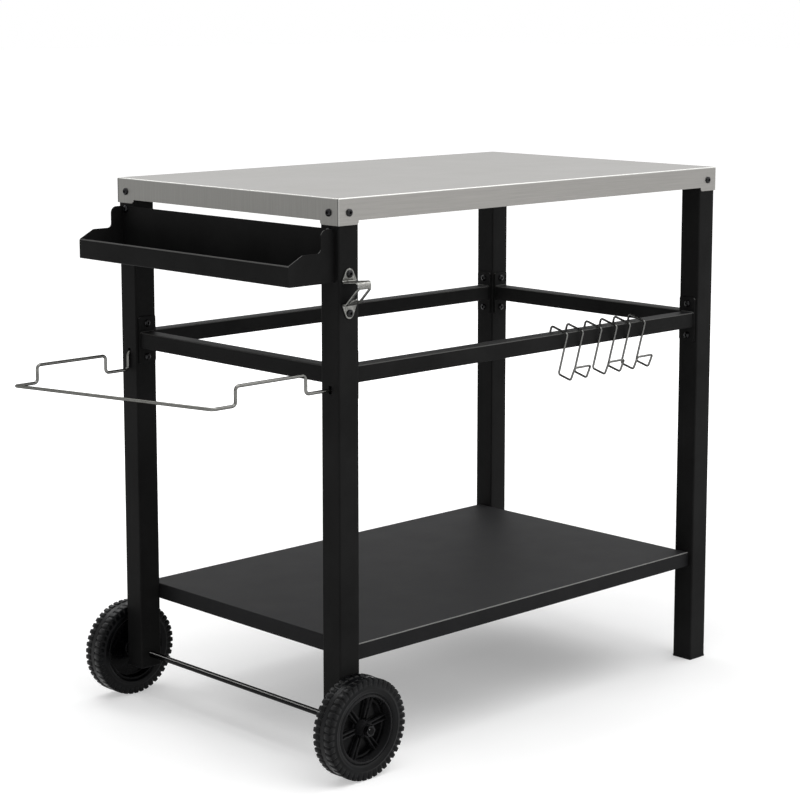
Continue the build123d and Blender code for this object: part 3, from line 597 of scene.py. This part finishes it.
# The dish stays black as painted shade, and what stands out turns grey as a painted highlight.
stands_out = add(tree, "ShaderNodeMapRange",
                 {"From Min": wheel_inner + painted_light_from, "From Max": wheel_inner + painted_light_full},
                 {"Value": depth_out.outputs[0]})
wear_and_painted_light = add(tree, "ShaderNodeMath", {"operation": "MULTIPLY_ADD", 1: 0.75},
             {0: stands_out.outputs[0], 2: flow.outputs[0]})
tone = add(tree, "ShaderNodeValToRGB", {}, {0: wear_and_painted_light.outputs[0]})
tone.color_ramp.elements[0].position = 0.5
tone.color_ramp.elements[0].color = linear("#030304")
tone.color_ramp.elements[1].position = 1.0
tone.color_ramp.elements[1].color = linear("#232324")
gloss = add(tree, "ShaderNodeMapRange", {"To Min": 0.18, "To Max": 0.34}, {"Value": flow.outputs[0]})
ripple = add(tree, "ShaderNodeBump", {"Strength": 0.1, "Distance": 0.0004}, {"Height": flow.outputs[0]})
tree.links.new(tone.outputs[0], shader.inputs["Base Color"])
tree.links.new(gloss.outputs[0], shader.inputs["Roughness"])
tree.links.new(ripple.outputs[0], shader.inputs["Normal"])


def rounded_loop(corners, rounding, steps):
    """A closed profile with its corners rounded and evenly spaced points: at each corner a parabola
    runs between the points that lie its rounding before and after it."""
    corners, rounding = np.array(corners, float), np.array(rounding, float)[:, None]
    before, after = np.roll(corners, 1, 0) - corners, np.roll(corners, -1, 0) - corners
    before *= rounding / np.linalg.norm(before, axis=1)[:, None]
    after *= rounding / np.linalg.norm(after, axis=1)[:, None]
    w = np.linspace(0, 1, bend_points)[None, :, None]
    bends = corners[:, None] + (1 - w) ** 2 * before[:, None] + w ** 2 * after[:, None]
    return evenly(bends.reshape(-1, 2), steps)[0]


def on_axle(radius, depth, turn, way):
    """Points about the axle: radius and turn give x and z by cosine and sine, and depth is measured out
    from the wheel's inner end."""
    x = left_x + radius * np.cos(turn)
    z = axle_height + radius * np.sin(turn)
    y = way * (wheel_inner + depth)
    return np.stack(np.broadcast_arrays(x, y, z), -1)


# The hub's section, in radius and depth (mm): bore, inner end, web, rim, and back over the dish and boss.
hub_corners = [
    (4.8, 0.0), (11.5, 0.0), (12.0, 12.0), (46.5, 12.0), (47.0, 3.0), (52.0, 3.0), (52.0, 33.0),
    (49.8, 33.0), (49.4, 34.6), (47.4, 34.6), (45.6, 16.5), (12.9, 18.5), (11.5, 34.8), (10.4, 36.0),
    (4.8, 36.0),
]
hub_rounding = [0.2, 1.5, 3.0, 2.0, 0.8, 0.3, 0.3, 0.4, 0.7, 0.8, 4.0, 2.5, 1.4, 1.2, 0.3]
profile = rounded_loop(hub_corners, hub_rounding, profile_points) / 1000
turn = np.linspace(0, 2 * np.pi, spoke_count * spoke_points, endpoint=False)
radius, depth = profile[:, :1], profile[:, 1:]

# Inside the dish the section is lifted to the spokes: each is two ridges with a shallow valley between
# them, every ridge a flat-topped bell of the distance from the spoke's middle.
dish = (depth > web_back) & (radius < dish_to) & (radius > dish_from)
half_pitch = np.pi / spoke_count
from_spoke = (turn - spoke_angle + half_pitch) % (2 * half_pitch) - half_pitch
aside = np.abs(radius * np.sin(from_spoke))
gap = ridge_gap + ridge_spread * radius / ridge_end
ridge = np.exp(-((aside - gap) / ridge_half) ** 4) + valley_share * (aside < gap)
grown = np.clip((radius - ridge_from) / (ridge_full - ridge_from), 0, 1)
crest = web_face + ridge_rise * np.minimum(ridge, 1) * grown
depth = np.where(dish, np.maximum(depth, crest), depth + 0 * turn)
quads = closed_grid(len(profile), len(turn))
for name, way in (("front", -1), ("rear", 1)):
    hub = make_piece(name + "_wheel_hub", on_axle(radius, depth, turn, way), quads[:, ::way], hub_plastic)
    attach(hub, name + "_wheel")
    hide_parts(name + "_hub")

# Tyres: blown polyethylene rings pressed on the hubs, with two staggered rows of lugs that wrap over
# the shoulders, a plain band between the rows and smooth walls.
lug_count = 44
lug_points = 16
lug_offset, lug_slope = 0.86, 0.7

# Blown polyethylene: dull charcoal with a fine grain from the mould, drawn 1.8 mm coarse so that it shows,
# and a film of dust in patches 20 mm across.
tyre_plastic, tree, shader, place = start_finish("dull_black_polyethylene")
shader.inputs["Specular IOR Level"].default_value = 0.12
grain = add(tree, "ShaderNodeTexNoise", {"Scale": 1 / 0.0018, "Detail": 4.0}, {"Vector": place})
dust = add(tree, "ShaderNodeTexNoise", {"Scale": 1 / 0.02, "Detail": 5.0}, {"Vector": place})
tone = add(tree, "ShaderNodeValToRGB", {}, {0: dust.outputs[0]})
tone.color_ramp.elements[0].position = 0.35
tone.color_ramp.elements[0].color = linear("#060607")
tone.color_ramp.elements[1].position = 0.75
tone.color_ramp.elements[1].color = linear("#0D0E10")
gloss = add(tree, "ShaderNodeMapRange", {"To Min": 0.24, "To Max": 0.38}, {"Value": dust.outputs[0]})
dimple = add(tree, "ShaderNodeBump", {"Strength": 0.25, "Distance": 0.0003}, {"Height": grain.outputs[0]})
tree.links.new(tone.outputs[0], shader.inputs["Base Color"])
tree.links.new(gloss.outputs[0], shader.inputs["Roughness"])
tree.links.new(dimple.outputs[0], shader.inputs["Normal"])


def tyre_surface(way):
    """The section is drawn twice, as the carcass and as the tops of the lugs, in radius and depth (mm), for
    the inner half and mirrored. A soft square wave of the turn, half a pitch apart in the two rows, blends
    from the one to the other."""
    wall = [(52.0, 3.0), (53.6, 1.3), (57.0, 0.6), (59.0, 0.6), (59.6, 0.2), (61.0, 0.2), (61.6, 0.6)]
    between_lugs = [
        (65.0, 0.8), (67.0, 1.1), (70.6, 1.9), (72.4, 3.2),
        (73.0, 5.0), (73.0, 12.0), (73.0, 12.7), (72.8, 13.2),
    ]
    on_lugs = [
        (65.8, 0.8), (66.9, 0.1), (73.4, 0.3), (74.5, 0.9),
        (75.0, 2.4), (75.0, 11.8), (74.6, 12.4), (72.8, 13.0),
    ]
    band = [(73.4, 13.5), (73.8, 14.0)]
    seat = [(52.0, 24.0), (52.0, 12.0)]
    halves = np.array([wall + between_lugs + band, wall + on_lugs + band])
    mirrored = halves[:, ::-1] * (1, -1) + (0, 1000 * wheel_width)
    carcass, lug_tops = np.concatenate([halves, mirrored, [seat, seat]], axis=1) / 1000
    turn = np.linspace(0, 2 * np.pi, lug_count * lug_points, endpoint=False)
    row = np.where(carcass[:, 1] < wheel_width / 2, 0, np.pi)[:, None]
    rise = np.clip((np.cos(lug_count * turn + row) + lug_offset) / lug_slope, 0, 1)
    wave = rise ** 2 * (3 - 2 * rise)
    section = carcass[:, None] + wave[..., None] * (lug_tops - carcass)[:, None]
    return on_axle(section[..., 0], section[..., 1], turn, way), closed_grid(len(carcass), len(turn))


for name, way in (("front", -1), ("rear", 1)):
    points, quads = tyre_surface(way)
    tyre = make_piece(name + "_wheel_tyre", points, quads[:, ::way], tyre_plastic)
    tyre.data.set_sharp_from_angle(angle=np.radians(38))
    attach(tyre, name + "_wheel")
    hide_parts(name + "_tyre")

# Bag holder and towel holder: each is one length of bright drawn steel wire, bent on a jig.
# Its two ends are sprung into holes, in the left legs or in the right end rail, and it lifts about them.

# Bright zinc on drawn wire: silvery metal that darkens towards its edges, with duller patches, 8 mm across.
bright_wire, tree, shader, place = start_finish("bright_plated_wire")
shader.inputs["Metallic"].default_value = 1.0
shader.inputs["Specular Tint"].default_value = linear("#3A3A3A")
patch = add(tree, "ShaderNodeTexNoise", {"Scale": 1 / 0.008, "Detail": 4.0}, {"Vector": place})
tone = add(tree, "ShaderNodeValToRGB", {}, {0: patch.outputs[0]})
tone.color_ramp.elements[0].color = linear("#565654")
tone.color_ramp.elements[1].color = linear("#7C7C79")
gloss = add(tree, "ShaderNodeMapRange", {"To Min": 0.14, "To Max": 0.32}, {"Value": patch.outputs[0]})
tree.links.new(tone.outputs[0], shader.inputs["Base Color"])
tree.links.new(gloss.outputs[0], shader.inputs["Roughness"])

dress(bright_wire, "bag_holder", "towel_holder")

# Hooks: each is one steel wire bent into two prongs with a joined tip.
# It is plated, hangs over the front rail and slides along it.

# Black nickel on wire: smoky metal that darkens towards its edges, with specks 3 mm apart.
smoky_wire, tree, shader, place = start_finish("black_nickel_wire")
shader.inputs["Metallic"].default_value = 1.0
shader.inputs["Specular Tint"].default_value = linear("#3A3A3A")
specks = add(tree, "ShaderNodeTexNoise", {"Scale": 1 / 0.003, "Detail": 3.0}, {"Vector": place})
tone = add(tree, "ShaderNodeValToRGB", {}, {0: specks.outputs[0]})
tone.color_ramp.elements[0].color = linear("#464645")
tone.color_ramp.elements[1].color = linear("#787876")
gloss = add(tree, "ShaderNodeMapRange", {"To Min": 0.18, "To Max": 0.36}, {"Value": specks.outputs[0]})
tree.links.new(tone.outputs[0], shader.inputs["Base Color"])
tree.links.new(gloss.outputs[0], shader.inputs["Roughness"])

dress(smoky_wire, "left_hook", "middle_hook", "right_hook")

# Studio: a pale seamless floor under a white surround, a broad lamp overhead, a large one at the
# front right and a weak one at the left, so that the front faces are lighter than the left ones,
# and two behind, at the rear and at the right, that put a light line along the upper edges.
floor_half = 40.0
shadow_middle = (0.6, 0, 0)
lamp_aim = Vector((0.08, 0, 0.45))


def shows_background(tree):
    """1 for a ray that shows the background: from the camera, off a gloss or through glass; else 0."""
    ray = add(tree, "ShaderNodeLightPath")
    seen = add(tree, "ShaderNodeMath", {"operation": "MAXIMUM"},
               {0: ray.outputs["Is Camera Ray"], 1: ray.outputs["Is Glossy Ray"]})
    seen = add(tree, "ShaderNodeMath", {"operation": "MAXIMUM"},
               {0: seen.outputs[0], 1: ray.outputs["Is Transmission Ray"]})
    return seen.outputs[0]


# Matt painted floor: pale grey with faint clouds, 300 mm across. To the eye it glows, more with distance
# from the middle of the shadow, so that it runs into the white surround and keeps the shadow; the weaker
# glow round that middle, which dips further within 0.5 m of it, is a painted shadow.
floor_finish, tree, shader, place = start_finish("pale_studio_floor")
shader.inputs["Roughness"].default_value = 0.9
shader.inputs["Specular IOR Level"].default_value = 0.1
speckle = add(tree, "ShaderNodeTexNoise", {"Scale": 1 / 0.3, "Detail": 3.0}, {"Vector": place})
tone = add(tree, "ShaderNodeValToRGB", {}, {0: speckle.outputs[0]})
tone.color_ramp.elements[0].color = linear("#D2D2D2")
tone.color_ramp.elements[1].color = linear("#DADADA")
tree.links.new(tone.outputs[0], shader.inputs["Base Color"])
away = add(tree, "ShaderNodeVectorMath", {"operation": "DISTANCE", 1: shadow_middle}, {0: place})
glow = add(tree, "ShaderNodeMapRange", {"From Min": 0.6, "From Max": 2.6, "To Min": 0.34, "To Max": 0.95},
           {"Value": away.outputs["Value"]})
# Within 0.5 m of the shadow's middle the glow dips: a painted shadow.
painted_shadow_dip = add(tree, "ShaderNodeMapRange", {"From Min": 0.1, "From Max": 0.5, "To Min": -0.12, "To Max": 0.0},
          {"Value": away.outputs["Value"]})
level = add(tree, "ShaderNodeMath", {"operation": "ADD"}, {0: glow.outputs[0], 1: painted_shadow_dip.outputs[0]})
lift = add(tree, "ShaderNodeMath", {"operation": "MULTIPLY"},
           {0: shows_background(tree), 1: level.outputs[0]})
shader.inputs["Emission Color"].default_value = (1, 1, 1, 1)
tree.links.new(lift.outputs[0], shader.inputs["Emission Strength"])
corners = floor_half * np.array([(-1, -1, 0), (1, -1, 0), (1, 1, 0), (-1, 1, 0)])
floor = make_piece("studio_floor", corners, np.array([[0, 1, 2, 3]]), floor_finish)

world = bpy.data.worlds.new("white_surround")
bpy.context.scene.world = world
world.use_nodes = True
tree = world.node_tree
level = add(tree, "ShaderNodeMapRange", {"To Min": 0.2, "To Max": 1.0}, {"Value": shows_background(tree)})
tree.nodes["Background"].inputs["Color"].default_value = (1, 1, 1, 1)
tree.links.new(level.outputs[0], tree.nodes["Background"].inputs["Strength"])

# Each lamp has its name, its place and width in metres, and its power in watts.
for name, spot, size, power in (
    ("overhead_lamp", (0.35, -0.3, 3.2), 4.2, 114.0),
    ("front_lamp", (1.9, -3.1, 3.5), 7.2, 114.0),
    ("left_lamp", (-2.8, -1.8, 2.2), 0.5, 2.0),
    ("rear_lamp", (-0.1, 3.0, 3.2), 1.6, 34.0),
    ("right_lamp", (3.1, 0.1, 3.2), 1.6, 20.0),
):
    light = bpy.data.lights.new(name, "AREA")
    light.size = size
    light.energy = power
    lamp = bpy.data.objects.new(name, light)
    lamp.location = spot
    lamp.rotation_euler = (lamp_aim - Vector(spot)).to_track_quat("-Z", "Y").to_euler()
    bpy.context.scene.collection.objects.link(lamp)

# Camera: a long lens at the photograph's viewing angle, a little above the tabletop.
# Its place, aim and focal length were fitted to the photographed legs, tabletop, rails and shelf.
camera_spot = (-2.3455, -2.4639, 1.1081)
yaw, pitch = np.radians(-43.908), np.radians(-8.399)
lens = bpy.data.cameras.new("photograph")
lens.sensor_width = 36.0
lens.lens = 96.9795
lens.shift_y = -0.1
lens.clip_end = 200.0
camera = bpy.data.objects.new("photograph", lens)
ahead = Vector((np.sin(-yaw) * np.cos(pitch), np.cos(yaw) * np.cos(pitch), np.sin(pitch)))
turned = ahead.to_track_quat("-Z", "Y").to_matrix().to_4x4()
camera.matrix_world = Matrix.Translation(camera_spot) @ turned
bpy.context.scene.collection.objects.link(camera)
bpy.context.scene.camera = camera
bpy.context.scene.view_settings.view_transform = "Standard"
